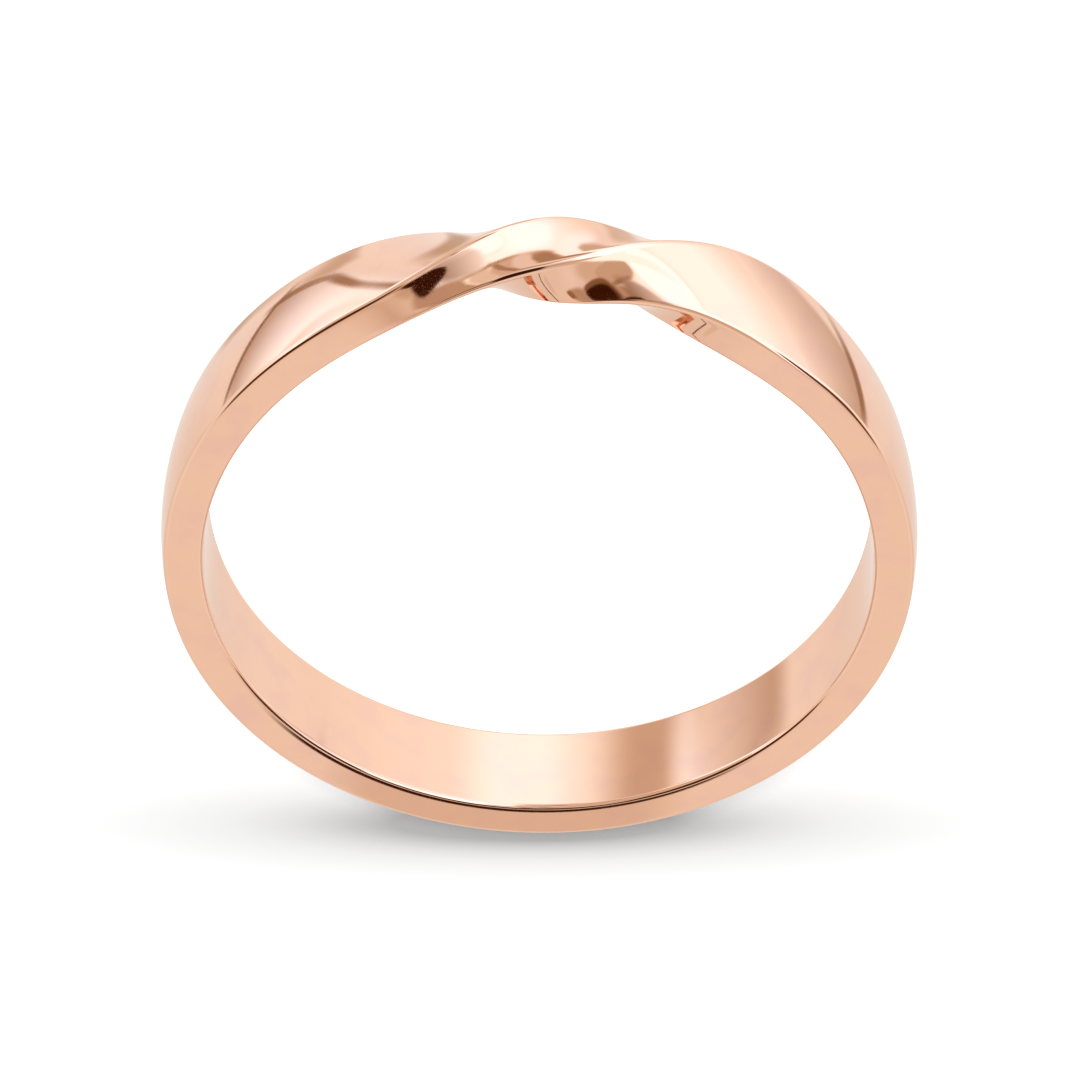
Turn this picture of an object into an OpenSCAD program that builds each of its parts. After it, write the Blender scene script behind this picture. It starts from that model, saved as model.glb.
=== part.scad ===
// Twisted wedding band: one bar of gold bent into a ring, turned over by half a turn on one side.
// The ring lies flat on its side. +Z is the axis of the finger hole, and the twist is towards -Y.
// Millimetres and degrees.

/* [Band] */
// Inside diameter, which is the ring size
finger_d = 17.3; // [14:0.1:22]
// Width of the plain band, measured along the finger
band_w = 2.85; // [2.4:0.05:3.6]
// Thickness of the plain band at its edges
band_t = 1.0; // [0.8:0.05:1.4]
// Height of the low dome on the face that looks outwards
crown_h = 0.14; // [0:0.01:0.2]
// Radius of the long edges on the plain band
edge_r = 0.12; // [0.05:0.01:0.2]

/* [Twist] */
// Turn of the bar from one side of the twist to the other
turn = 180; // [180:Left hand, -180:Right hand]
// Arc from the middle of the twist to where the plain band begins
twist_half = 80; // [60:1:90]
// Steepness of the turn in the middle of that arc
twist_steep = 7.2; // [4:0.1:9]
// Rise of the bar's centre line in the middle of the twist
rise_h = 0.27; // [0:0.01:0.5]
// Extra width that the shoulders on both sides of the waist swell to
shoulder_w = 0.16; // [0:0.01:0.3]

/* [Waist] */
// Width of the bar where it is narrowest
waist_w = 1.58; // [1.3:0.02:2.2]
// Thickness of the bar in the same place
waist_t = 1.58; // [1.2:0.02:2]
// Radius of the long edges in the same place
waist_edge_r = 0.2; // [0.05:0.01:0.3]
// Arc from the waist's middle to where its narrowing ends
waist_half = 36.5; // [20:0.5:45]
// Arc from the middle of the twist to the waist's middle
waist_shift = 4.7; // [-8:0.1:8]

/* [Smoothness] */
// Cross-sections along the twist
section_count = 101; // [41:2:121]
// Straight pieces on each rounded edge
edge_pieces = 3; // [2:1:5]
// Straight pieces across each broad face
face_pieces = 6; // [2:1:8]
// Straight pieces around a whole turn of the plain band in previews
$fn = 240; // [60:12:360]

/* [Hidden] */

gold_colour = [0.87, 0.62, 0.49];
finger_r = finger_d / 2;
// A dome this low is flat, and stands in for no dome at all
least_dome = 1e-7;
// The half of the ring towards +Y is plain, and the twist is in the middle of the other half
half_ring = 180;
twist_place = 270;

// Swells smoothly from 0 at either end of its half arc to 1 in the middle
function swell(arc, half_arc) = abs(arc) < half_arc ? pow(cos(90 * arc / half_arc), 2) : 0;

// Share of the turn made by an arc, from 0 before the twist to 1 after it
function turned(arc) =
    abs(arc) >= twist_half ? (arc < 0 ? 0 : 1) :
    let (share = arc / twist_half)
    1 / (1 + exp(-twist_steep * share / sqrt(1 - share * share)));

// Nearness to the waist, from 0 on the plain band to 1 at the narrowest place
function waisted(arc) = swell(arc - waist_shift, waist_half);

// The bar's measures at an arc from the middle of the twist
function bar_w(arc) =
    let (full_w = band_w + shoulder_w * swell(arc, twist_half))
    full_w + (waist_w - band_w - shoulder_w) * waisted(arc);
function bar_t(arc) = band_t + (waist_t - band_t) * waisted(arc);
function bar_edge_r(arc) = edge_r + (waist_edge_r - edge_r) * waisted(arc);
function bar_r(arc) = finger_r + band_t / 2 + rise_h * swell(arc, twist_half);

// Points of an arc around a centre, without its first and last ones if they are left out
function arc_points(centre, r, from, to, pieces, left_out = 0) = [
    for (i = [left_out : pieces - left_out])
        let (a = from + (to - from) * i / pieces)
        centre + r * [cos(a), sin(a)]
];

// Half of the bar's outline: a domed face with a rounded edge on both sides, as [across t, across w]
function half_outline(w, t, r, dome_h) =
    let (
        h = max(dome_h, least_dome),
        dome_r = (w * w / 4 + h * h) / (2 * h),
        dome_x = t / 2 + h - dome_r,
        lean = asin((w / 2 - r) / (dome_r - r)),
        edge_x = dome_x + (dome_r - r) * cos(lean),
        edge_y = w / 2 - r
    )
    concat(
        arc_points([edge_x, -edge_y], r, -90, -lean, edge_pieces),
        arc_points([dome_x, 0], dome_r, -lean, lean, face_pieces, 1),
        arc_points([edge_x, edge_y], r, lean, 90, edge_pieces)
    );

// Whole outline of the bar: each broad face is domed as far as it looks outwards
function outline(arc) =
    let (w = bar_w(arc), t = bar_t(arc), r = bar_edge_r(arc), facing = cos(turn * turned(arc)))
    concat(
        half_outline(w, t, r, crown_h * (1 + facing) / 2),
        [for (p = half_outline(w, t, r, crown_h * (1 - facing) / 2)) -p]
    );

// Carries a point of the outline to its place in the ring, with the bar turned as far as it is there
function placed(p, arc) =
    let (
        a = turn * turned(arc),
        r = bar_r(arc) + p.x * cos(a) + p.y * sin(a),
        z = p.y * cos(a) - p.x * sin(a)
    )
    [r * cos(twist_place - arc), r * sin(twist_place - arc), z];

// The half of the ring that turns over, as one closed skin through its cross-sections
module twisted_bar() {
    arcs = [for (i = [0 : section_count - 1]) half_ring * (i / (section_count - 1) - 0.5)];
    ring = len(outline(0));
    last = (section_count - 1) * ring;
    sides = [
        for (i = [0 : section_count - 2], j = [0 : ring - 1])
            let (a = i * ring + j, b = i * ring + (j + 1) % ring)
            each [[a, a + ring, b], [b, a + ring, b + ring]]
    ];
    start_cap = [[for (j = [0 : ring - 1]) j]];
    end_cap = [[for (j = [ring - 1 : -1 : 0]) last + j]];
    polyhedron(
        points = [for (arc = arcs) each [for (p = outline(arc)) placed(p, arc)]],
        faces = concat(sides, start_cap, end_cap),
        convexity = 6
    );
}

// The plain half of the ring, a true body of revolution with a round bore
module plain_bar() {
    arc = -half_ring / 2;
    rotate_extrude(angle = half_ring, start = 0)
        polygon([for (p = outline(arc)) [bar_r(arc) + p.x, p.y]]);
}

module band() {
    color(gold_colour)
        union() {
            plain_bar();
            twisted_bar();
        }
}

band();
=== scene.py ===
"""Twisted wedding band in polished rose gold, lying on its side on a pale floor, with a lamp's soft shadow
and a painted one.

The band is grown by Geometry Nodes from the same law as the CAD part: a low-domed bar is bent round the
finger hole, and in the middle of one half it narrows to a waist and turns over by half a turn. Everything is
in metres in the part's own frame: +Z is the axis of the finger hole and the twist is towards -Y.
"""

from __future__ import annotations

import logging
import math
from dataclasses import dataclass, field, fields
from typing import Any, ClassVar, Iterable, Sequence

import bpy
from mathutils import Matrix, Vector


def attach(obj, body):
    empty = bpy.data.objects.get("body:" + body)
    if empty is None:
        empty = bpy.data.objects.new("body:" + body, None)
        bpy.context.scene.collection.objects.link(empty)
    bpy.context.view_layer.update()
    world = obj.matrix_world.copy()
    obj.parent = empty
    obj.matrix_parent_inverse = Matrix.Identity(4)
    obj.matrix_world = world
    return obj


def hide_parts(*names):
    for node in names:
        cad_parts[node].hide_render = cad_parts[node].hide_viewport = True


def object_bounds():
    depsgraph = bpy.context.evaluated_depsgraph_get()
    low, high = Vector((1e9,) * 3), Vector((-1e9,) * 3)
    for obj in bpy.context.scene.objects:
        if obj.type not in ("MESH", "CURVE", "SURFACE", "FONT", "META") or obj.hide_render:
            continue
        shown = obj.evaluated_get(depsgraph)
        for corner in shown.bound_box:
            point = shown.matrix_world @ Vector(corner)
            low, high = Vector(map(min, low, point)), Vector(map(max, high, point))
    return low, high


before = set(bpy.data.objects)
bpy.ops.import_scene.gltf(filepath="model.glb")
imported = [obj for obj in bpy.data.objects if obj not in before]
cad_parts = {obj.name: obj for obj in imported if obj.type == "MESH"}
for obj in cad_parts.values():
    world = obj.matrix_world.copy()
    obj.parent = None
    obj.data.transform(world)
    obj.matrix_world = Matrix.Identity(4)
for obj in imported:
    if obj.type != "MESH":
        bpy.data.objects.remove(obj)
CAD_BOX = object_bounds()

LOG = logging.getLogger("twisted_band")
MM = 0.001
# One step of arithmetic: its name, the operation, and the names or numbers that go into it
Step = tuple[str | float, ...]
# How a card's corners are rounded: 2 would make it an oval, and a large number a sharp oblong
CORNER_POWER = 3.0


def linear(hex_colour: str) -> tuple[float, float, float, float]:
    """Turns an sRGB hex colour to the linear colour that a shader wants.

    Args:
        hex_colour: six hex digits with a leading #.

    Returns:
        Linear red, green and blue, and an alpha of 1.
    """
    channels = [int(hex_colour[i : i + 2], 16) / 255 for i in (1, 3, 5)]
    red, green, blue = (c / 12.92 if c <= 0.04045 else ((c + 0.055) / 1.055) ** 2.4 for c in channels)
    return red, green, blue, 1.0


def add_node(
    tree: bpy.types.NodeTree, kind: str, settings: dict[str, Any] | None = None, **inputs: Any
) -> bpy.types.Node:
    """Adds a node to a tree, with its settings and what goes into its inputs.

    Args:
        tree: the node tree, of a material, the world or a modifier.
        kind: Blender's name for the kind of node.
        settings: properties of the node by name.
        inputs: for each input a value, or a socket or node that is linked to it. The key is the input's
            name with underscores for spaces, or in_0, in_1 and so on for its place.

    Returns:
        The new node.
    """
    node = tree.nodes.new(kind)
    for name, value in (settings or {}).items():
        setattr(node, name, value)
    for name, value in inputs.items():
        key = int(name[3:]) if name.startswith("in_") else name.replace("_", " ")
        socket = node.inputs[key]
        if isinstance(value, bpy.types.Node):
            value = next(out for out in value.outputs if out.enabled)
        if isinstance(value, bpy.types.NodeSocket):
            tree.links.new(value, socket)
        else:
            socket.default_value = value
    return node


def add_steps(
    tree: bpy.types.NodeTree, steps: Sequence[Step], known: dict[str, bpy.types.NodeSocket | float]
) -> dict[str, bpy.types.NodeSocket | float]:
    """Adds a sum that is written out as a table, one step of arithmetic to a row.

    Args:
        tree: the node tree.
        steps: the steps in order. Each can use what is known and the results of those before it.
        known: sockets or numbers by name.

    Returns:
        What was known together with each step's result by its name.
    """
    known = dict(known)
    for name, operation, *terms in steps:
        into = {f"in_{place}": known.get(term, term) for place, term in enumerate(terms)}
        step = add_node(tree, "ShaderNodeMath", {"operation": operation, "label": name}, **into)
        known[name] = step.outputs[0]
    return known


def add_levels(
    tree: bpy.types.NodeTree, table: Sequence[tuple[float, float]], value: bpy.types.NodeSocket
) -> bpy.types.NodeSocket:
    """Adds a level that follows a table, and changes evenly from one row to the next.

    Args:
        tree: the node tree.
        table: rows of a value and the level there, in rising order of the value.
        value: the value at each point.

    Returns:
        The level at each point.
    """
    first, last = float(table[0][0]), float(table[-1][0])
    full = max(level for _, level in table)
    share = add_node(tree, "ShaderNodeMapRange", Value=value, From_Min=first, From_Max=last)
    ramp = add_node(tree, "ShaderNodeValToRGB", Fac=share.outputs[0])
    stops = ramp.color_ramp.elements
    for place, _ in table[1:-1]:
        stops.new((place - first) / (last - first))
    for stop, (_, level) in zip(stops, table):
        stop.color = (level / full, level / full, level / full, 1)
    steps = (("level", "MULTIPLY", "share of full", full),)
    return add_steps(tree, steps, {"share of full": ramp.outputs["Color"]})["level"]


def card_cover(
    tree: bpy.types.NodeTree,
    offset: tuple[bpy.types.NodeSocket, bpy.types.NodeSocket],
    half: tuple[float, float],
    softness: float,
    turn: float,
    bend: float = 0.0,
) -> tuple[bpy.types.NodeSocket, bpy.types.NodeSocket]:
    """Adds a card's cover: 1 inside its rounded oblong, falling softly to 0 past its edge.

    Args:
        tree: the tree to add to.
        offset: how far the point lies to the right of the card's middle and above it.
        half: half the card's width and height.
        softness: width of its soft edge as a share of half the card.
        turn: the card's turn, clockwise in degrees.
        bend: how many half heights its ends rise above its middle.

    Returns:
        The cover from 0 to 1, and the height on the card from -1 at its foot to 1 at its top.
    """
    cos_turn, sin_turn = math.cos(math.radians(turn)), math.sin(math.radians(turn))
    edge = softness / 2
    steps = (
        ("turned across", "MULTIPLY", "across", cos_turn / half[0]),
        ("x", "MULTIPLY_ADD", "up", -sin_turn / half[0], "turned across"),
        ("turned up", "MULTIPLY", "across", sin_turn / half[1]),
        ("straight y", "MULTIPLY_ADD", "up", cos_turn / half[1], "turned up"),
        ("x squared", "MULTIPLY", "x", "x"),
        ("y", "MULTIPLY_ADD", "x squared", -bend, "straight y"),
        ("x out", "ABSOLUTE", "x"),
        ("y out", "ABSOLUTE", "y"),
        ("x raised", "POWER", "x out", CORNER_POWER),
        ("y raised", "POWER", "y out", CORNER_POWER),
        ("raised", "ADD", "x raised", "y raised"),
        ("distance", "POWER", "raised", 1 / CORNER_POWER),
    )
    place = add_steps(tree, steps, {"across": offset[0], "up": offset[1]})
    cover = add_node(tree, "ShaderNodeMapRange", {"interpolation_type": "SMOOTHSTEP"},
                     Value=place["distance"], From_Min=1 - edge, From_Max=1 + edge, To_Min=1.0, To_Max=0.0)
    return cover.outputs[0], place["y"]


def from_photo(right: float, front: float, up: float) -> Vector:
    """Takes a point in the photograph's directions, in millimetres, to the row's frame in metres."""
    return Vector((-right, -up, front)) * MM


@dataclass(frozen=True)
class BandSizes:
    """The band's sizes, in metres and radians, as the CAD part has them."""

    finger_radius: float = 8.65 * MM
    band_width: float = 2.85 * MM
    band_thickness: float = 1.0 * MM
    crown_height: float = 0.14 * MM
    edge_radius: float = 0.12 * MM
    turn: float = math.radians(180)
    twist_half: float = math.radians(80)
    twist_steepness: float = 7.2
    rise: float = 0.27 * MM
    shoulder_width: float = 0.16 * MM
    waist_width: float = 1.58 * MM
    waist_thickness: float = 1.58 * MM
    waist_edge_radius: float = 0.2 * MM
    waist_half: float = math.radians(36.5)
    waist_shift: float = math.radians(4.7)


@dataclass
class Band:
    """The ring itself: one bar of metal, swept round the finger hole and turned over on one side."""

    sizes: BandSizes = field(default_factory=BandSizes)
    sections: int = 800
    face_pieces: int = 16
    edge_pieces: int = 6
    side_pieces: int = 4

    # Points nearer than this are one point, where the first and the last section meet after half a turn
    SEAM_GAP: ClassVar[float] = 0.001 * MM
    # Name of the attribute that is 1 on the rounded long edges and 0 on the faces
    EDGE: ClassVar[str] = "long_edge"
    # The share of the twist is taken up to here, because the stretched share grows without end towards 1
    OPEN_SHARE: ClassVar[float] = 0.995

    # How many points the outline has, and how many stations the sweep has
    COUNTS: ClassVar[tuple[Step, ...]] = (
        ("face and edges", "MULTIPLY_ADD", "edge pieces", 2.0, "face pieces"),
        ("half outline", "ADD", "face and edges", "side pieces"),
        ("whole outline", "MULTIPLY", "half outline", 2.0),
        ("stations", "ADD", "sections", 1.0),
    )

    # The law of the band. "section" and "outline" count the sections round the ring and the points round the
    # bar's outline.
    LAW: ClassVar[tuple[Step, ...]] = (
        # Arc from the middle of the twist, and how far the bar has turned over there
        ("round", "DIVIDE", "section", "sections"),
        ("arc", "MULTIPLY_ADD", "round", math.tau, -math.pi),
        ("twist share", "DIVIDE", "arc", "twist_half"),
        ("share up to 1", "MINIMUM", "twist share", 1.0),
        ("share", "MAXIMUM", "share up to 1", -1.0),
        ("share off 1", "MINIMUM", "share", OPEN_SHARE),
        ("open share", "MAXIMUM", "share off 1", -OPEN_SHARE),
        ("open share squared", "MULTIPLY", "open share", "open share"),
        ("rest of it", "SUBTRACT", 1.0, "open share squared"),
        ("root of rest", "SQRT", "rest of it"),
        ("stretched share", "DIVIDE", "open share", "root of rest"),
        ("steep share", "MULTIPLY", "stretched share", "twist_steepness"),
        ("falling share", "MULTIPLY", "steep share", -1.0),
        ("growth", "EXPONENT", "falling share"),
        ("growth and 1", "ADD", "growth", 1.0),
        ("turned", "DIVIDE", "turn", "growth and 1"),
        ("cos turned", "COSINE", "turned"),
        ("sin turned", "SINE", "turned"),
        # Swell of the shoulders over the whole twist, and nearness to the waist
        ("swell angle", "MULTIPLY", "share", math.pi / 2),
        ("cos swell", "COSINE", "swell angle"),
        ("swell", "MULTIPLY", "cos swell", "cos swell"),
        ("arc from waist", "SUBTRACT", "arc", "waist_shift"),
        ("waist share", "DIVIDE", "arc from waist", "waist_half"),
        ("waist up to 1", "MINIMUM", "waist share", 1.0),
        ("waist from -1", "MAXIMUM", "waist up to 1", -1.0),
        ("waist angle", "MULTIPLY", "waist from -1", math.pi / 2),
        ("cos waist", "COSINE", "waist angle"),
        ("waisted", "MULTIPLY", "cos waist", "cos waist"),
        # The bar's measures there
        ("shouldered width", "ADD", "band_width", "shoulder_width"),
        ("full width", "MULTIPLY_ADD", "shoulder_width", "swell", "band_width"),
        ("width step", "SUBTRACT", "waist_width", "shouldered width"),
        ("width", "MULTIPLY_ADD", "width step", "waisted", "full width"),
        ("thickness step", "SUBTRACT", "waist_thickness", "band_thickness"),
        ("thickness", "MULTIPLY_ADD", "thickness step", "waisted", "band_thickness"),
        ("edge step", "SUBTRACT", "waist_edge_radius", "edge_radius"),
        ("edge", "MULTIPLY_ADD", "edge step", "waisted", "edge_radius"),
        ("inner line", "MULTIPLY_ADD", "band_thickness", 0.5, "finger_radius"),
        ("centre line", "MULTIPLY_ADD", "rise", "swell", "inner line"),
        # Place on the outline: on which broad face, and how many pieces from the middle of that face
        ("face number", "DIVIDE", "outline", "half outline"),
        ("face", "FLOOR", "face number"),
        ("face side", "MULTIPLY_ADD", "face", -2.0, 1.0),
        ("point on half", "MODULO", "outline", "half outline"),
        ("quarter outline", "MULTIPLY", "half outline", 0.5),
        ("from middle", "SUBTRACT", "point on half", "quarter outline"),
        ("edge side", "SIGN", "from middle"),
        ("pieces out", "ABSOLUTE", "from middle"),
        ("half face", "MULTIPLY", "face pieces", 0.5),
        ("on face", "MINIMUM", "pieces out", "half face"),
        ("face share", "DIVIDE", "on face", "half face"),
        ("past face", "SUBTRACT", "pieces out", "half face"),
        ("on edge or side", "MAXIMUM", "past face", 0.0),
        ("on edge", "MINIMUM", "on edge or side", "edge pieces"),
        ("edge share", "DIVIDE", "on edge", "edge pieces"),
        ("edge swing", "MULTIPLY", "edge share", math.pi),
        ("edge middle", "SINE", "edge swing"),
        ("past edge", "SUBTRACT", "on edge or side", "edge pieces"),
        ("on side", "MAXIMUM", "past edge", 0.0),
        ("half side", "MULTIPLY", "side pieces", 0.5),
        ("side share", "DIVIDE", "on side", "half side"),
        # The dome of that face, which is highest where the face looks outwards, and its slope where it ends
        ("looks out", "MULTIPLY_ADD", "face side", "cos turned", 1.0),
        ("half crown", "MULTIPLY", "crown_height", 0.5),
        ("dome", "MULTIPLY", "half crown", "looks out"),
        ("dome squared", "MULTIPLY", "dome", "dome"),
        ("width squared", "MULTIPLY", "width", "width"),
        ("chord term", "MULTIPLY_ADD", "dome squared", 4.0, "width squared"),
        ("dome by 8", "MULTIPLY", "dome", 8.0),
        ("bend", "DIVIDE", "dome by 8", "chord term"),
        ("half width", "MULTIPLY", "width", 0.5),
        ("width to edge", "SUBTRACT", "half width", "edge"),
        ("edge bend", "MULTIPLY", "edge", "bend"),
        ("less edge bend", "SUBTRACT", 1.0, "edge bend"),
        ("face end", "DIVIDE", "width to edge", "less edge bend"),
        ("sin lean", "MULTIPLY", "face end", "bend"),
        ("lean", "ARCSINE", "sin lean"),
        ("cos lean", "COSINE", "lean"),
        # The point on the face, then round the edge, then along the flat side towards the bar's middle
        ("face angle", "MULTIPLY", "face share", math.pi / 2),
        ("crowded share", "SINE", "face angle"),
        ("across", "MULTIPLY", "crowded share", "face end"),
        ("bend across", "MULTIPLY", "across", "bend"),
        ("bend across squared", "MULTIPLY", "bend across", "bend across"),
        ("less bend", "SUBTRACT", 1.0, "bend across squared"),
        ("root of bend", "SQRT", "less bend"),
        ("root and 1", "ADD", "root of bend", 1.0),
        ("fall term", "MULTIPLY", "bend across", "across"),
        ("fall", "DIVIDE", "fall term", "root and 1"),
        ("face height", "MULTIPLY_ADD", "thickness", 0.5, "dome"),
        ("out", "SUBTRACT", "face height", "fall"),
        ("edge turn", "SUBTRACT", math.pi / 2, "lean"),
        ("edge angle", "MULTIPLY_ADD", "edge share", "edge turn", "lean"),
        ("cos edge", "COSINE", "edge angle"),
        ("sin edge", "SINE", "edge angle"),
        ("edge in", "SUBTRACT", "cos edge", "cos lean"),
        ("edge on", "SUBTRACT", "sin edge", "sin lean"),
        ("out to side", "MULTIPLY_ADD", "edge", "edge in", "out"),
        ("across to side", "MULTIPLY_ADD", "edge", "edge on", "across"),
        ("side angle", "MULTIPLY", "side share", math.pi / 2),
        ("cos side", "COSINE", "side angle"),
        ("out on half", "MULTIPLY", "out to side", "cos side"),
        ("across on half", "MULTIPLY", "across to side", "edge side"),
        ("x", "MULTIPLY", "out on half", "face side"),
        ("y", "MULTIPLY", "across on half", "face side"),
        # The outline turned over and carried to its place in the ring
        ("x out", "MULTIPLY_ADD", "x", "cos turned", "centre line"),
        ("radius", "MULTIPLY_ADD", "y", "sin turned", "x out"),
        ("x up", "MULTIPLY", "x", "sin turned"),
        ("y up", "MULTIPLY", "y", "cos turned"),
        ("height", "SUBTRACT", "y up", "x up"),
        ("place", "SUBTRACT", math.radians(270), "arc"),
        ("cos place", "COSINE", "place"),
        ("sin place", "SINE", "place"),
        ("right", "MULTIPLY", "radius", "cos place"),
        ("back", "MULTIPLY", "radius", "sin place"),
    )

    def build(self, material: bpy.types.Material) -> bpy.types.Object:
        """Grows the band with its Geometry Nodes tree and turns the result into a plain mesh.

        Args:
            material: the finish of the metal.

        Returns:
            The finished band, at the origin, with its place in its mesh.
        """
        seed = bpy.data.objects.new("band_seed", bpy.data.meshes.new("band_seed"))
        bpy.context.scene.collection.objects.link(seed)
        modifier = seed.modifiers.new("twisted_bar", "NODES")
        modifier.node_group = self._tree(material)
        values = self._values()
        for item in modifier.node_group.interface.items_tree:
            if item.name in values:
                modifier[item.identifier] = values[item.name]
        evaluated = seed.evaluated_get(bpy.context.evaluated_depsgraph_get())
        mesh = bpy.data.meshes.new_from_object(evaluated)
        seed.modifiers.remove(modifier)
        bpy.data.objects.remove(seed)
        mesh.name = "twisted_band"
        mesh.shade_smooth()
        band = bpy.data.objects.new("twisted_band", mesh)
        bpy.context.scene.collection.objects.link(band)
        return band

    def _values(self) -> dict[str, float | int]:
        """Gives the tree's inputs by name: the band's sizes, and into how many pieces it is divided."""
        sizes = {size.name: getattr(self.sizes, size.name) for size in fields(self.sizes)}
        counts = {
            "sections": self.sections,
            "face pieces": self.face_pieces,
            "edge pieces": self.edge_pieces,
            "side pieces": self.side_pieces,
        }
        return sizes | counts

    def _tree(self, material: bpy.types.Material) -> bpy.types.NodeTree:
        """Makes the tree that sweeps the bar round the ring and places each point by the law.

        Args:
            material: the finish that Set Material gives the band.

        Returns:
            The Geometry Nodes tree, with the band's sizes as its inputs.
        """
        tree = bpy.data.node_groups.new("twisted_bar", "GeometryNodeTree")
        for name, value in self._values().items():
            kind = "NodeSocketInt" if isinstance(value, int) else "NodeSocketFloat"
            tree.interface.new_socket(name, in_out="INPUT", socket_type=kind)
        tree.interface.new_socket("Geometry", in_out="OUTPUT", socket_type="NodeSocketGeometry")
        sizes = add_node(tree, "NodeGroupInput")
        known = add_steps(tree, self.COUNTS, {out.name: out for out in sizes.outputs if out.name})
        line = add_node(tree, "GeometryNodeCurvePrimitiveLine")
        rails = {
            "section": add_node(tree, "GeometryNodeResampleCurve", Curve=line, Count=known["stations"]),
            "outline": add_node(
                tree, "GeometryNodeCurvePrimitiveCircle", Resolution=known["whole outline"]
            ),
        }
        curves = {}
        for name, rail in rails.items():
            count = add_node(tree, "GeometryNodeInputIndex")
            kept = add_node(tree, "GeometryNodeCaptureAttribute")
            kept.capture_items.new("INT", name)
            tree.links.new(rail.outputs["Curve"], kept.inputs["Geometry"])
            tree.links.new(count.outputs[0], kept.inputs[name])
            curves[name], known[name] = kept.outputs["Geometry"], kept.outputs[name]
        swept = add_node(tree, "GeometryNodeCurveToMesh", Curve=curves["section"],
                         Profile_Curve=curves["outline"])

        known = add_steps(tree, self.LAW, known)
        point = add_node(tree, "ShaderNodeCombineXYZ", X=known["right"], Y=known["back"], Z=known["height"])
        shaped = add_node(tree, "GeometryNodeSetPosition", Geometry=swept, Position=point)
        marked = add_node(tree, "GeometryNodeStoreNamedAttribute", {"data_type": "FLOAT", "domain": "POINT"},
                          Geometry=shaped, Name=self.EDGE, Value=known["edge middle"])
        closed = add_node(tree, "GeometryNodeMergeByDistance", Geometry=marked, Distance=self.SEAM_GAP)
        smooth = add_node(tree, "GeometryNodeSetShadeSmooth", Geometry=closed)
        real = add_node(tree, "GeometryNodeRealizeInstances", Geometry=smooth)
        dressed = add_node(tree, "GeometryNodeSetMaterial", Geometry=real, Material=material)
        add_node(tree, "NodeGroupOutput", Geometry=dressed)
        return tree


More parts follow.
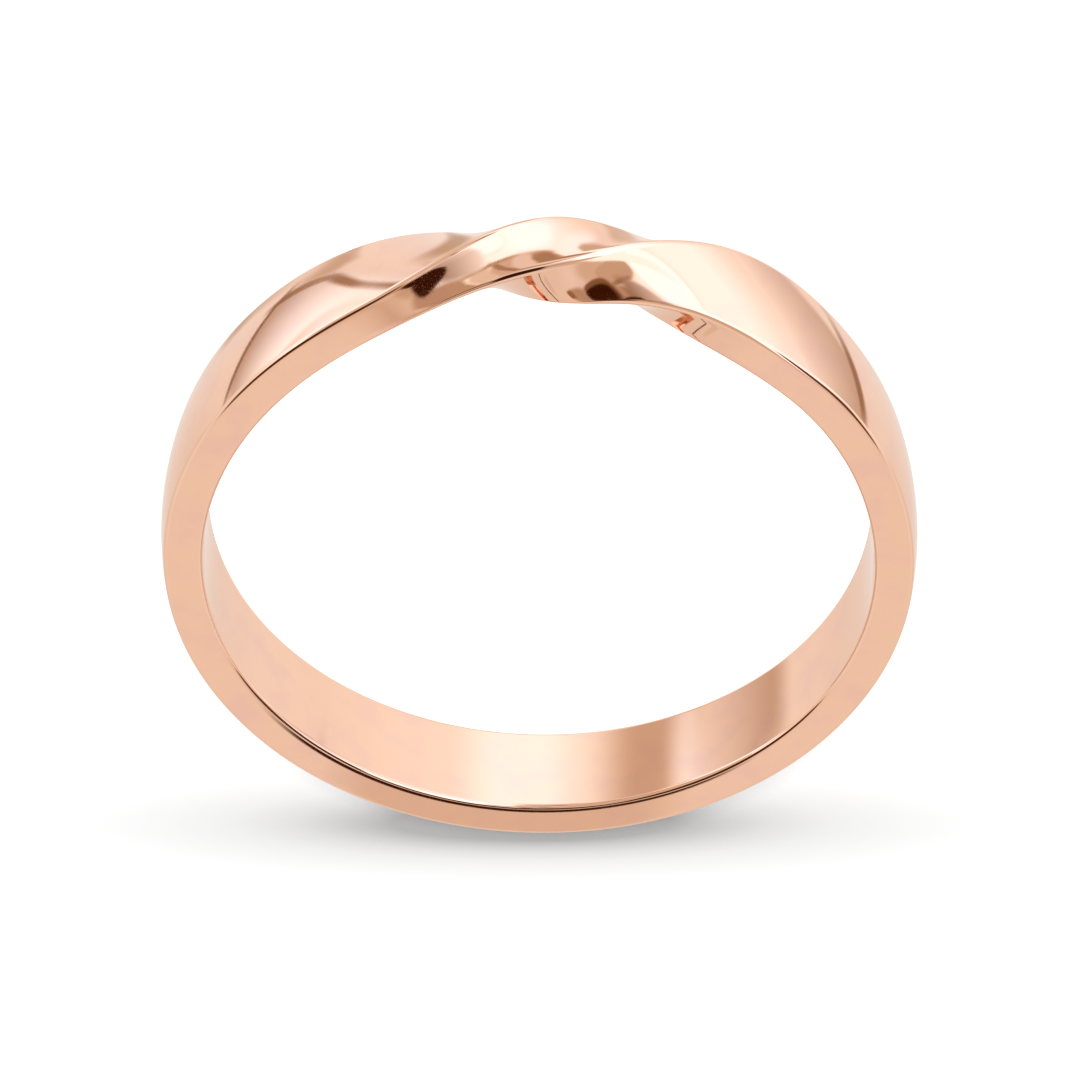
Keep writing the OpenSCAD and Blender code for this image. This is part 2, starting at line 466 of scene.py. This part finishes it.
@dataclass(frozen=True)
class RoseGold:
    """14 carat rose gold, cast and then polished to a mirror.

    It gives the eye a warm pink-gold mirror: crisp reflections that waver a little where the polishing wheel
    left the metal not quite flat, a haze of hairline scratches, and long edges burnished smoother than the
    faces, with a painted sheen that makes them paler and brighter.
    """

    colour: str = "#F3C5A8"
    cloud_colour: str = "#EFC0AA"
    # A painted sheen: the long edges are given this paler colour so that they shine brighter than the faces
    edge_colour: str = "#F6CDB3"
    roughness: float = 0.045
    scratched_roughness: float = 0.12
    edge_roughness: float = 0.03
    # The alloy isn't one even colour: clouds of a pinker gold come in as the noise grows through this range
    cloud_size: float = 0.9 * MM
    cloud_range: tuple[float, float] = (0.45, 0.72)
    cloud_detail: float = 2.0
    waviness_size: float = 1.1 * MM
    waviness_height: float = 0.0009 * MM
    waviness_detail: float = 1.5
    waviness_roughness: float = 0.45
    # Real polishing scratches are a few thousandths of a millimetre wide, too fine to show in a picture, so
    # these are drawn coarser
    scratch_width: float = 0.035 * MM
    scratch_length: float = 1.4 * MM
    scratch_height: float = 0.000025 * MM
    scratch_range: tuple[float, float] = (0.66, 0.78)
    scratch_axis: tuple[float, float, float] = (0.3, 0.5, 0.8)
    scratch_directions: tuple[float, ...] = (12.0, 67.0, 131.0)
    # The scratches dull the metal more in some patches than in others, and this is the patches' size
    haze_size: float = 3.5 * MM
    haze_detail: float = 2.0

    def material(self) -> bpy.types.Material:
        """Makes the metal's shader.

        Returns:
            The material, whose patterns are laid out in the band's own metres.
        """
        material = bpy.data.materials.new("polished_rose_gold")
        material.use_nodes = True
        tree = material.node_tree
        tree.nodes.clear()
        place = add_node(tree, "ShaderNodeTexCoord").outputs["Object"]
        edge = add_node(tree, "ShaderNodeAttribute", {"attribute_name": Band.EDGE}).outputs["Fac"]

        waves = add_node(tree, "ShaderNodeTexNoise", Vector=place, Scale=1 / self.waviness_size,
                         Detail=self.waviness_detail, Roughness=self.waviness_roughness)
        wavy = add_node(tree, "ShaderNodeBump", Strength=1.0, Distance=self.waviness_height,
                        Height=waves.outputs[0])
        scratches = self._scratches(tree, place)
        fine = add_node(tree, "ShaderNodeBump", Strength=1.0, Distance=self.scratch_height, Height=scratches,
                        Normal=wavy)

        haze = add_node(tree, "ShaderNodeTexNoise", Vector=place, Scale=1 / self.haze_size,
                        Detail=self.haze_detail)
        hazy = add_node(tree, "ShaderNodeMath", {"operation": "MULTIPLY"}, in_0=scratches,
                        in_1=haze.outputs[0])
        worn = add_node(tree, "ShaderNodeMapRange", Value=hazy, From_Min=0.0, From_Max=1.0,
                        To_Min=self.roughness, To_Max=self.scratched_roughness)
        roughness = add_node(tree, "ShaderNodeMix", Factor=edge, A=worn, B=self.edge_roughness)

        cloud = add_node(tree, "ShaderNodeTexNoise", Vector=place, Scale=1 / self.cloud_size,
                         Detail=self.cloud_detail)
        cloudy = add_node(tree, "ShaderNodeMapRange", Value=cloud.outputs[0], From_Min=self.cloud_range[0],
                          From_Max=self.cloud_range[1])
        face = add_node(tree, "ShaderNodeMix", {"data_type": "RGBA"}, Factor=cloudy.outputs[0],
                        in_6=linear(self.colour), in_7=linear(self.cloud_colour)).outputs[2]
        # The long edges take the paler colour of the painted sheen
        colour = add_node(tree, "ShaderNodeMix", {"data_type": "RGBA"}, Factor=edge, in_6=face,
                          in_7=linear(self.edge_colour)).outputs[2]
        metal = add_node(tree, "ShaderNodeBsdfPrincipled", Base_Color=colour, Metallic=1.0,
                         Roughness=roughness.outputs[0], Normal=fine)
        add_node(tree, "ShaderNodeOutputMaterial", Surface=metal.outputs[0])
        return material

    def _scratches(self, tree: bpy.types.NodeTree, place: bpy.types.NodeSocket) -> bpy.types.NodeSocket:
        """Adds hairline scratches in a few directions: noise that is drawn out long and thin.

        Args:
            tree: the material's tree.
            place: the point on the band.

        Returns:
            The strength of the scratches there, from 0 to 1.
        """
        density = (1 / self.scratch_length, 1 / self.scratch_width, 1 / self.scratch_width)
        lines = []
        for degrees in self.scratch_directions:
            turned = add_node(tree, "ShaderNodeVectorRotate", {"rotation_type": "AXIS_ANGLE"}, Vector=place,
                              Axis=self.scratch_axis, Angle=math.radians(degrees))
            drawn = add_node(tree, "ShaderNodeVectorMath", {"operation": "MULTIPLY"}, in_0=turned,
                             in_1=density)
            noise = add_node(tree, "ShaderNodeTexNoise", Vector=drawn, Scale=1.0, Detail=0.0)
            line = add_node(tree, "ShaderNodeMapRange", {"interpolation_type": "SMOOTHSTEP"},
                            Value=noise.outputs[0], From_Min=self.scratch_range[0],
                            From_Max=self.scratch_range[1])
            lines.append(line.outputs[0])
        strongest, *others = lines
        for line in others:
            either = add_node(tree, "ShaderNodeMath", {"operation": "MAXIMUM"}, in_0=strongest, in_1=line)
            strongest = either.outputs[0]
        return strongest


@dataclass(frozen=True)
class PhotoCamera:
    """The camera of the photograph, which looks at the ring from the twist's side and from above."""

    azimuth: float = math.radians(-85.117)
    elevation: float = math.radians(46.768)
    roll: float = math.radians(-178.804)
    distance: float = 160.0 * MM
    lens: float = 205.73
    # Nothing nearer or further than this is seen
    view_range: tuple[float, float] = (0.01, 10.0)
    target: tuple[float, float, float] = (-0.029 * MM, 0.084 * MM, 0.081 * MM)

    def build(self) -> bpy.types.Object:
        """Makes the camera and gives it to the scene.

        Returns:
            The camera.
        """
        data = bpy.data.cameras.new("photo_camera")
        data.lens = self.lens
        data.clip_start, data.clip_end = self.view_range
        camera = bpy.data.objects.new("photo_camera", data)
        back = Vector((
            math.cos(self.elevation) * math.cos(self.azimuth),
            math.cos(self.elevation) * math.sin(self.azimuth),
            math.sin(self.elevation),
        ))
        right = Vector((0, 0, 1)).cross(back).normalized()
        up = back.cross(right)
        level = Matrix((right, up, back)).transposed()
        turned = level @ Matrix.Rotation(self.roll, 3, "Z")
        camera.matrix_world = Matrix.Translation(Vector(self.target) + self.distance * back) @ turned.to_4x4()
        bpy.context.scene.collection.objects.link(camera)
        bpy.context.scene.camera = camera
        return camera


@dataclass(frozen=True)
class FarCard:
    """A soft card of the light tent, far from the ring.

    Its place is given in degrees: to the photograph's right, and round from the front (0) over the top (90)
    to the back (180). Brightness 1 shows the gold in its own colour, and a higher one shows it paler, up to
    white. Softness is the share of half the card over which its edge fades. Turn is clockwise in degrees.
    """

    name: str
    right: float
    round: float
    half_right: float
    half_round: float
    softness: float
    turn: float
    brightness: float


@dataclass(frozen=True)
class NearCard:
    """A small card held close to the ring, in millimetres from the ring's centre.

    Right and up are the photograph's own directions, and front is along the finger hole's axis towards its
    viewer. Brightness runs from the card's foot to its top. Softness and turn are as for a far card. A bent
    card's ends rise above its middle by that many half heights.
    """

    name: str
    right: float
    front: float
    up: float
    half_width: float
    half_height: float
    softness: float
    turn: float
    foot: float
    top: float
    bend: float = 0.0


@dataclass(frozen=True)
class Studio:
    """A pale floor whose glow paints part of the soft shadow, a soft light tent that only the metal mirrors,
    and a lamp that casts the rest of the soft shadow.
    """

    floor_reach: float = 1.5
    floor_colour: str = "#E8E8E8"
    # The painted shadow falls this far round from +Y, away from the lamp and from the camera
    shadow_turn: float = math.radians(6.6)
    # How far beyond its wall the ring's upper edge hides the floor from the camera
    hidden_floor: float = 2.73 * MM
    # Place where the painted shadow is darkest, seen as it falls, and one step from there, to the side or
    # back
    shadow_side: float = 0.4 * MM
    shadow_back: float = 12.25 * MM
    shadow_side_step: float = 5.5 * MM
    shadow_back_step: float = 1.0 * MM
    # On the hidden floor the painted shadow is one step deeper for each length of this size towards the
    # ring's wall
    wall_step: float = 1.0 * MM
    # From the wall towards the finger hole, and in front of the ring, it is one step less for each of this
    hole_step: float = 0.1 * MM
    lamp_place: tuple[float, float, float] = (4.8 * MM, -41.7 * MM, 53.8 * MM)
    lamp_size: float = 16 * MM
    lamp_energy: float = 0.031
    sky: float = 0.22
    # The floor glows a little of its own, to be as white as the photograph's, and dims to paint a soft shadow
    # beyond the ring's plain side; where it glows strongly it washes out the lamp's real shadow. Each row is
    # a number of steps from the darkest part of the painted shadow, and the glow there.
    FLOOR_GLOW: ClassVar[tuple[tuple[float, float], ...]] = (
        (0.7, 0.0), (0.8, 0.07), (1.0, 0.2), (1.2, 0.31), (1.5, 0.42), (1.8, 0.48), (2.3, 0.56), (3.2, 0.65),
        (4.2, 0.87),
    )
    # How many steps from the darkest part of the painted shadow a point of the floor is
    SHADOW: ClassVar[tuple[Step, ...]] = (
        # The point's place as the shadow falls
        ("side by X", "MULTIPLY", "X", "cos turn"),
        ("side", "MULTIPLY_ADD", "Y", "sin turn", "side by X"),
        ("forward by X", "MULTIPLY", "X", "sin turn"),
        ("back by Y", "MULTIPLY", "Y", "cos turn"),
        ("back", "SUBTRACT", "back by Y", "forward by X"),
        # On the hidden floor the painted shadow is as it is at the hidden floor's outer edge
        ("side squared", "MULTIPLY", "side", "side"),
        ("ring squared", "MULTIPLY", "ring radius", "ring radius"),
        ("rest", "SUBTRACT", "ring squared", "side squared"),
        ("rest above 0", "MAXIMUM", "rest", 0.0),
        ("ring back", "SQRT", "rest above 0"),
        ("edge", "ADD", "ring back", "hidden floor"),
        ("outer", "MAXIMUM", "back", "edge"),
        ("off middle", "SUBTRACT", "side", "shadow side"),
        ("side steps", "DIVIDE", "off middle", "side step"),
        ("side steps squared", "MULTIPLY", "side steps", "side steps"),
        ("past middle", "SUBTRACT", "outer", "shadow back"),
        ("back steps", "DIVIDE", "past middle", "back step"),
        ("steps squared", "MULTIPLY_ADD", "back steps", "back steps", "side steps squared"),
        ("steps out", "SQRT", "steps squared"),
        # It is deeper towards the wall
        ("behind edge", "SUBTRACT", "outer", "back"),
        ("behind up to wall", "MINIMUM", "behind edge", "hidden floor"),
        ("steps deeper", "DIVIDE", "behind up to wall", "wall step"),
        ("steps to wall", "SUBTRACT", "steps out", "steps deeper"),
        # It ends within the ring and in front of it
        ("radius squared", "MULTIPLY_ADD", "back", "back", "side squared"),
        ("radius", "SQRT", "radius squared"),
        ("within ring", "SUBTRACT", "ring radius", "radius"),
        ("in front", "MULTIPLY", "back", -1.0),
        ("within or in front", "MAXIMUM", "within ring", "in front"),
        ("past either", "MAXIMUM", "within or in front", 0.0),
        ("steps in", "DIVIDE", "past either", "hole step"),
        ("steps", "ADD", "steps to wall", "steps in"),
    )
    # Brightness of the tent itself by the angle round, in the same degrees as the cards
    TENT: ClassVar[tuple[tuple[float, float], ...]] = (
        (-90, 0.82), (-60, 0.88), (-46, 0.95), (-34, 0.9), (-20, 0.62), (0, 1.0), (8, 1.3), (25, 1.55),
        (60, 1.66), (100, 1.66), (118, 1.5), (135, 1.26), (150, 1.13), (165, 1.06), (180, 1.05), (195, 1.02),
        (205, 0.97), (220, 0.85), (240, 0.8), (270, 0.82),
    )
    # name, right, round, half right, half round, softness, turn, brightness; later cards cover earlier ones
    FAR_CARDS: ClassVar[tuple[FarCard, ...]] = (
        FarCard("pale card on the right", 80, 120, 24, 75, 0.9, 0, 1.58),
        FarCard("white card behind", 0, 134, 11.5, 20, 1.2, 0, 1.62),
        FarCard("white card behind on the left", -62, 148, 26, 20, 0.7, 0, 1.68),
        FarCard("end wall on the right", 90, 90, 13, 1000, 0.8, 0, 1.0),
        FarCard("end wall on the left", -90, 90, 13, 1000, 0.8, 0, 1.0),
        FarCard("brown patch behind", -29.5, 145, 8, 18, 1.6, 0, 0.58),
        FarCard("slanting line behind", -10, 196, 1.6, 17, 1.0, 40, 0.5),
        FarCard("tan patch behind", 9, 188, 8, 14, 0.9, 0, 0.72),
        FarCard("tan ceiling on the left", -36, 76, 36.5, 46, 0.1, 0, 0.66),
        FarCard("dark patch in the ceiling", -8, 98, 6, 13, 0.9, 0, 0.33),
        FarCard("pale patch in the ceiling", -8, 76, 8, 10, 0.6, 0, 0.93),
        FarCard("dark line across the ceiling", -7, 57, 2, 12, 0.9, -35, 0.32),
        FarCard("pale patch below it", -8, 37, 7, 10, 0.6, 0, 0.85),
        FarCard("dark rim of the ceiling", -1, 45, 1.3, 26, 0.9, 2, 0.45),
        FarCard("dark foot of the ceiling", -8, 8, 8, 18, 0.3, 0, 0.45),
        FarCard("white card in front on the right", 33, 24, 11.5, 42, 0.2, 0, 1.64),
        FarCard("rim of the white window", 21, 45, 14.5, 20.5, 0.3, 0, 1.5),
        FarCard("white window", 20.5, 44, 13, 19, 0.2, 0, 1.85),
        FarCard("white card overhead", 14, 86, 11, 22, 0.9, 0, 1.85),
        FarCard("black card in front on the left", -40, 4, 25, 30, 0.2, 0, 0.03),
        FarCard("black card in front on the right", 53, 10, 22, 34, 0.15, 11, 0.06),
        FarCard("tan card in front", 11, -15, 10.5, 19, 0.8, 0, 0.66),
        FarCard("brown card in front", 11.7, 4, 8, 20, 0.2, 25, 0.55),
        FarCard("dark rim of the brown card", 4.2, 6, 1.3, 13, 0.8, 27, 0.3),
        FarCard("white card beside it", 24.5, 18, 3.2, 34, 0.5, 4, 1.64),
    )
    # name, right, front, up, half width, half height, softness, turn, foot, top, bend
    NEAR_CARDS: ClassVar[tuple[NearCard, ...]] = (
        NearCard("tan_card_left", -51.2, -42, 4, 24, 12, 0.35, -20.5, 0.42, 1.7),
        NearCard("dark_foot_left", -47, -41.9, -7.1, 21, 0.9, 1.0, -20.5, 0.2, 0.2),
        NearCard("brown_card_left", -25.5, -41.8, 3.5, 4.5, 5, 0.5, 0, 0.6, 0.6),
        NearCard("dark_post_left", -32.6, -41.7, 3.0, 1.5, 7.5, 0.7, 15, 0.18, 0.45),
        NearCard("tan_card_right", 44, -25, 12, 21, 13.2, 0.15, 0, 0.5, 1.25),
        NearCard("dark_foot_right", 33, -24.9, 0.3, 10, 1.0, 1.0, 0, 0.25, 0.25),
        NearCard("dark_arch_left", -22.2, -25, 11.2, 1.1, 3.2, 1.1, -30, 0.3, 0.3),
        NearCard("brown_card_behind", -17.2, -25, -2.5, 3.5, 6.8, 0.7, 0, 0.45, 1.05),
        NearCard("tan_card_behind", -4.2, -20, 22.5, 5, 7.5, 0.5, 0, 0.64, 0.64),
        NearCard("brown_card_in_front", 0.8, 25.1, 22, 4.2, 11, 0.5, 0, 0.2, 1.3),
        NearCard("black_card_in_front", -1.95, 25, 12.3, 1.25, 5.4, 0.25, 23, 0.01, 0.01),
        NearCard("black_strip_in_front", -3.1, 24.9, -0.5, 0.6, 7, 0.5, 11, 0.02, 0.02),
        NearCard("brown_strip_by_twist", -2.3, 8.2, 1.0, 1.0, 3.3, 0.8, 12, 0.4, 0.4),
        NearCard("dark_spot_by_twist", -2.7, 8.1, -1.7, 0.7, 1.5, 0.6, 15, 0.2, 0.2),
        NearCard("dark_brown_by_twist", -0.45, 8, 6.4, 0.75, 2.8, 0.3, 24, 0.14, 0.14),
        NearCard("black_by_twist", -0.8, 7.9, 6.1, 0.5, 2.7, 0.35, 24, 0.01, 0.01),
        NearCard("black_tab_by_strand", -1.3, 2.5, 9.95, 0.75, 0.75, 0.3, 0, 0.01, 0.01),
        NearCard("dark_strip_by_bore", 0, 4, -7.85, 5.0, 0.75, 0.25, 0, 0.01, 0.01, 2.4),
        NearCard("dark_strip_below_bore", 0, 4.5, -10.6, 6.0, 1.0, 0.25, 0, 0.01, 0.01, 1.8),
        NearCard("tan_card_below", 0.5, 8, -15.3, 4.6, 3.2, 0.45, 0, 0.73, 0.73),
    )
    # A ray's angle to the photograph's right, and its angle round from the front over the top
    ANGLES: ClassVar[tuple[Step, ...]] = (
        ("photo right", "MULTIPLY", "X", -1.0),
        ("right in radians", "ARCSINE", "photo right"),
        ("right", "DEGREES", "right in radians"),
        ("photo up", "MULTIPLY", "Y", -1.0),
        ("tilt in radians", "ARCTAN2", "Z", "photo up"),
        ("tilt", "DEGREES", "tilt in radians"),
        ("round", "SUBTRACT", 90.0, "tilt"),
    )
    # The dimmer a card, the warmer it looks in the gold: its brightness is raised to these powers
    WARMTH: ClassVar[tuple[tuple[str, float], ...]] = (("Red", 0.68), ("Green", 1.0), ("Blue", 1.33))

    def build(self, lowest: float) -> None:
        """Lays the floor at the ring's lowest point and sets up the light.

        Args:
            lowest: height of the ring's lowest point.
        """
        self._world()
        for card in self.NEAR_CARDS:
            self._near(card)
        self._floor(lowest)
        self._lamp()
        bpy.context.scene.view_settings.view_transform = "Standard"

    def _world(self) -> None:
        """Makes the light tent, which the metal mirrors, and a plain white sky for all else."""
        world = bpy.data.worlds.new("light_tent")
        bpy.context.scene.world = world
        world.use_nodes = True
        tree = world.node_tree
        tree.nodes.clear()

        direction = add_node(tree, "ShaderNodeTexCoord").outputs["Generated"]
        ray = add_node(tree, "ShaderNodeSeparateXYZ", Vector=direction)
        angles = add_steps(tree, self.ANGLES, {axis: ray.outputs[axis] for axis in "XYZ"})
        brightness = add_levels(tree, self.TENT, angles["round"])
        for card in self.FAR_CARDS:
            steps = (
                ("across", "SUBTRACT", "right", float(card.right)),
                ("up", "SUBTRACT", "round", float(card.round)),
            )
            known = add_steps(tree, steps, angles)
            offset = (known["across"], known["up"])
            half = (card.half_right, card.half_round)
            cover, _ = card_cover(tree, offset, half, card.softness, card.turn)
            brightness = add_node(tree, "ShaderNodeMix", {"label": card.name}, Factor=cover, A=brightness,
                                  B=float(card.brightness)).outputs[0]
        powers = [(channel, "POWER", "brightness", power) for channel, power in self.WARMTH]
        known = add_steps(tree, powers, {"brightness": brightness})
        channels = {channel: known[channel] for channel, _ in self.WARMTH}
        colour = add_node(tree, "ShaderNodeCombineColor", **channels)
        tent = add_node(tree, "ShaderNodeBackground", Color=colour, Strength=1.0)
        sky = add_node(tree, "ShaderNodeBackground", Color=(1, 1, 1, 1), Strength=self.sky)
        backdrop = add_node(tree, "ShaderNodeBackground", Color=(1, 1, 1, 1), Strength=1.0)
        seen_by = add_node(tree, "ShaderNodeLightPath").outputs
        plain = add_node(tree, "ShaderNodeMixShader", in_0=seen_by["Is Camera Ray"], in_1=sky, in_2=backdrop)
        light = add_node(tree, "ShaderNodeMixShader", in_0=seen_by["Is Glossy Ray"], in_1=plain, in_2=tent)
        add_node(tree, "ShaderNodeOutputWorld", Surface=light)

    def _near(self, card: NearCard) -> None:
        """Makes one near card, which only the metal mirrors.

        Args:
            card: the card's place, size and brightness.
        """
        reach = 1 + card.softness / 2
        wide, high = card.half_width * reach, card.half_height * (reach + card.bend * reach**2)
        turn = Matrix.Rotation(-math.radians(card.turn), 2)
        sheet = [Vector(corner) for corner in ((-wide, -high), (wide, -high), (wide, high), (-wide, high))]
        places = [turn @ corner + Vector((card.right, card.up)) for corner in sheet]
        mesh = bpy.data.meshes.new(card.name)
        mesh.from_pydata([from_photo(x, card.front, y) for x, y in places], [], [(0, 1, 2, 3)])
        layer = mesh.uv_layers.new(name="card")
        for loop, corner in zip(layer.data, sheet):
            loop.uv = corner
        material = bpy.data.materials.new(card.name)
        material.use_nodes = True
        tree = material.node_tree
        tree.nodes.clear()
        place = add_node(tree, "ShaderNodeUVMap", {"uv_map": "card"})
        spot = add_node(tree, "ShaderNodeSeparateXYZ", Vector=place)
        offset = (spot.outputs["X"], spot.outputs["Y"])
        half = (card.half_width, card.half_height)
        cover, up = card_cover(tree, offset, half, card.softness, 0.0, card.bend)
        height = add_node(tree, "ShaderNodeMapRange", Value=up, From_Min=-1.0, From_Max=1.0)
        colour = add_node(tree, "ShaderNodeMix", {"data_type": "RGBA"}, Factor=height.outputs[0],
                          in_6=self._tint(card.foot), in_7=self._tint(card.top)).outputs[2]
        glow = add_node(tree, "ShaderNodeEmission", Color=colour, Strength=1.0)
        clear = add_node(tree, "ShaderNodeBsdfTransparent")
        surface = add_node(tree, "ShaderNodeMixShader", in_0=cover, in_1=clear, in_2=glow)
        add_node(tree, "ShaderNodeOutputMaterial", Surface=surface)
        material.cycles.emission_sampling = "NONE"
        mesh.materials.append(material)
        made = bpy.data.objects.new(card.name, mesh)
        bpy.context.scene.collection.objects.link(made)
        for kind in ("camera", "diffuse", "transmission", "volume_scatter", "shadow"):
            setattr(made, f"visible_{kind}", False)

    def _tint(self, brightness: float) -> tuple[float, float, float, float]:
        """Gives the linear colour of a card of some brightness."""
        red, green, blue = (brightness**power for _, power in self.WARMTH)
        return red, green, blue, 1.0

    def _floor(self, lowest: float) -> None:
        """Lays the floor.

        The metal doesn't mirror it, because it lies too close to the ring to be lit as evenly as a tent.

        Args:
            lowest: height of the floor.
        """
        reach = self.floor_reach
        sides = ((-reach, -reach), (reach, -reach), (reach, reach), (-reach, reach))
        mesh = bpy.data.meshes.new("floor")
        mesh.from_pydata([(x, y, lowest) for x, y in sides], [], [(0, 1, 2, 3)])
        material = bpy.data.materials.new("pale_floor")
        material.use_nodes = True
        tree = material.node_tree
        tree.nodes.clear()
        # The floor's glow dims to paint the ring's shadow beyond its plain side, and is strong enough
        # elsewhere to wash out the lamp's shadow
        glow = add_levels(tree, self.FLOOR_GLOW, self._shadow(tree))
        paper = add_node(tree, "ShaderNodeBsdfPrincipled", Base_Color=linear(self.floor_colour),
                         Roughness=1.0, Specular_IOR_Level=0.0, Emission_Color=glow, Emission_Strength=1.0)
        add_node(tree, "ShaderNodeOutputMaterial", Surface=paper.outputs[0])
        material.cycles.emission_sampling = "NONE"
        mesh.materials.append(material)
        floor = bpy.data.objects.new("floor", mesh)
        bpy.context.scene.collection.objects.link(floor)
        floor.visible_glossy = False

    def _shadow(self, tree: bpy.types.NodeTree) -> bpy.types.NodeSocket:
        """Adds the ring's painted shadow on the floor, which the floor's glow follows.

        Args:
            tree: the floor's tree.

        Returns:
            How many steps from the darkest part of the painted shadow each point is.
        """
        place = add_node(tree, "ShaderNodeTexCoord").outputs["Object"]
        spot = add_node(tree, "ShaderNodeSeparateXYZ", Vector=place)
        known = {
            "X": spot.outputs["X"],
            "Y": spot.outputs["Y"],
            "cos turn": math.cos(self.shadow_turn),
            "sin turn": math.sin(self.shadow_turn),
            "ring radius": CAD_BOX[1].x,
            "hidden floor": self.hidden_floor,
            "shadow side": self.shadow_side,
            "shadow back": self.shadow_back,
            "side step": self.shadow_side_step,
            "back step": self.shadow_back_step,
            "wall step": self.wall_step,
            "hole step": self.hole_step,
        }
        return add_steps(tree, self.SHADOW, known)["steps"]

    def _lamp(self) -> None:
        """Hangs a soft lamp beyond the twist, so that the ring's plain side throws a soft shadow outwards."""
        data = bpy.data.lights.new("soft_lamp", "AREA")
        data.shape = "DISK"
        data.size = self.lamp_size
        data.energy = self.lamp_energy
        lamp = bpy.data.objects.new("soft_lamp", data)
        place = Vector(self.lamp_place)
        to_ring = (-place).to_track_quat("-Z", "Y").to_matrix().to_4x4()
        lamp.matrix_world = Matrix.Translation(place) @ to_ring
        bpy.context.scene.collection.objects.link(lamp)
        lamp.visible_glossy = False
        lamp.visible_camera = False


def main() -> None:
    """Builds the camera, the band and the studio, and reports each piece."""
    logging.basicConfig(level=logging.INFO, format="%(message)s")
    PhotoCamera().build()
    band = Band().build(RoseGold().material())
    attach(band, "root")
    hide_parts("band")
    LOG.info("%s: %d faces", band.name, len(band.data.polygons))
    Studio().build(CAD_BOX[0].z)


if __name__ == "__main__":
    main()
